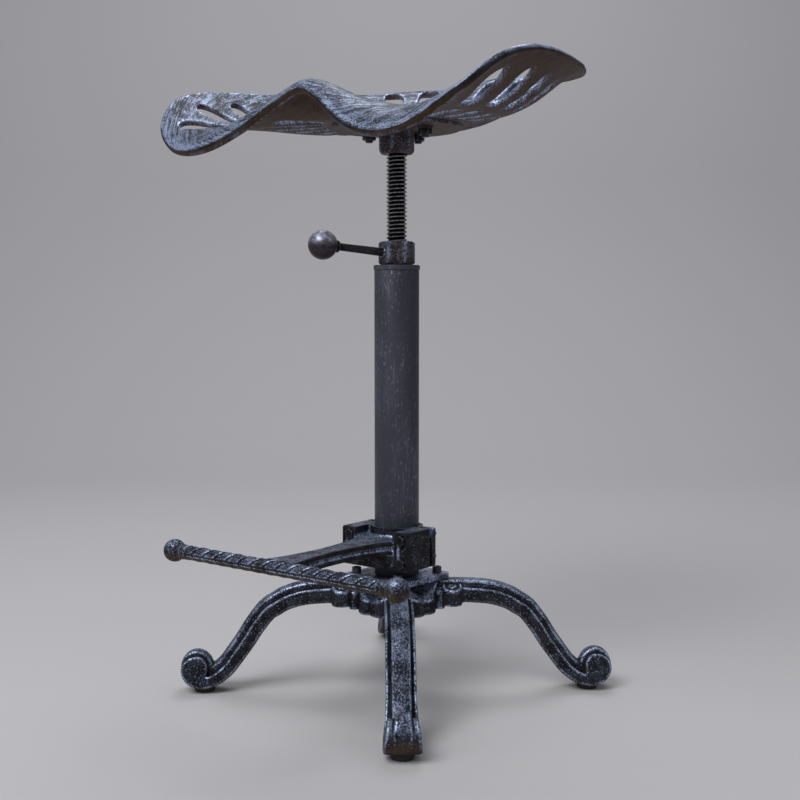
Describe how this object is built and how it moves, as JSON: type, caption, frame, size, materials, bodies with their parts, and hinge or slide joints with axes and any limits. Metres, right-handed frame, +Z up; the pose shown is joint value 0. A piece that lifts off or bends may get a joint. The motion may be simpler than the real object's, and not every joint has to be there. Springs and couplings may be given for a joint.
{
  "type": "stool",
  "caption": "Height-adjustable stool with a slotted cast seat on a screw, a tube column, a clamped footrest bar and four scroll legs.",
  "frame": {"origin": "on the axis of the column, at floor level under the four foot pads", "axes": "+Z up along the column; the seat's front and the footrest face -Y; the sitter's left is +X"},
  "size_m": [0.4368, 0.4116, 0.6923],
  "materials": {
    "cast_iron": "dark antique pewter, silver rubbed over the raised edges, satin",
    "column_steel": "blackened steel tube, brushed lengthwise with pale streaks",
    "oiled_steel": "black oiled screw thread",
    "knob_steel": "dark steel, worn bright on the side that is gripped",
    "bolt_steel": "black bolts, screws, nuts and washers",
    "rubber": "matt black rubber pads"
  },
  "bodies": {
    "base": {"leg_1": "cast_iron", "leg_2": "cast_iron", "leg_3": "cast_iron", "leg_4": "cast_iron", "foot_pad_1": "rubber", "foot_pad_2": "rubber", "foot_pad_3": "rubber", "foot_pad_4": "rubber", "plate_screw_1": "bolt_steel", "plate_screw_2": "bolt_steel", "plate_screw_3": "bolt_steel", "plate_screw_4": "bolt_steel", "base_plate": "cast_iron", "column_tube": "column_steel", "tube_cap": "cast_iron"},
    "lock": {"lock_nut": "cast_iron", "lever_rod": "knob_steel", "lever_knob": "knob_steel"},
    "carriage": {"guide_bush": "oiled_steel"},
    "seat": {"threaded_rod": "oiled_steel", "seat_boss": "cast_iron", "seat_pan": "cast_iron", "seat_bolt_1": "bolt_steel", "seat_bolt_2": "bolt_steel", "seat_bolt_3": "bolt_steel", "seat_bolt_4": "bolt_steel", "seat_washer_1": "bolt_steel", "seat_washer_2": "bolt_steel", "seat_washer_3": "bolt_steel", "seat_washer_4": "bolt_steel", "seat_nut_1": "bolt_steel", "seat_nut_2": "bolt_steel", "seat_nut_3": "bolt_steel", "seat_nut_4": "bolt_steel"},
    "footrest": {"clamp_front": "cast_iron", "clamp_rear": "cast_iron", "footrest_bar": "cast_iron", "footrest_ball_left": "cast_iron", "footrest_ball_right": "cast_iron", "clamp_bolt_1": "bolt_steel", "clamp_bolt_2": "bolt_steel", "clamp_bolt_3": "bolt_steel", "clamp_bolt_4": "bolt_steel", "clamp_nut_1": "bolt_steel", "clamp_nut_2": "bolt_steel", "clamp_nut_3": "bolt_steel", "clamp_nut_4": "bolt_steel"}
  },
  "joints": [
    {"name": "lock_turn", "type": "hinge", "parent": "base", "child": "lock", "pos_m": [0, 0, 0.477], "axis": [0, 0, 1], "range_deg": [0, 90]},
    {"name": "seat_rise", "type": "slide", "parent": "base", "child": "carriage", "axis": [0, 0, 1], "range_m": [-0.088, 0.06]},
    {"name": "seat_spin", "type": "hinge", "parent": "carriage", "child": "seat", "pos_m": [0, 0, 0.6], "axis": [0, 0, 1], "range_deg": [-7470, 5094]},
    {"name": "footrest_slide", "type": "slide", "parent": "base", "child": "footrest", "axis": [0, 0, 1], "range_m": [-0.004, 0.265]}
  ],
  "couplings": [
    {"joint": "seat_rise", "follows": "seat_spin", "m_per_rad": 0.0006737}
  ]
}
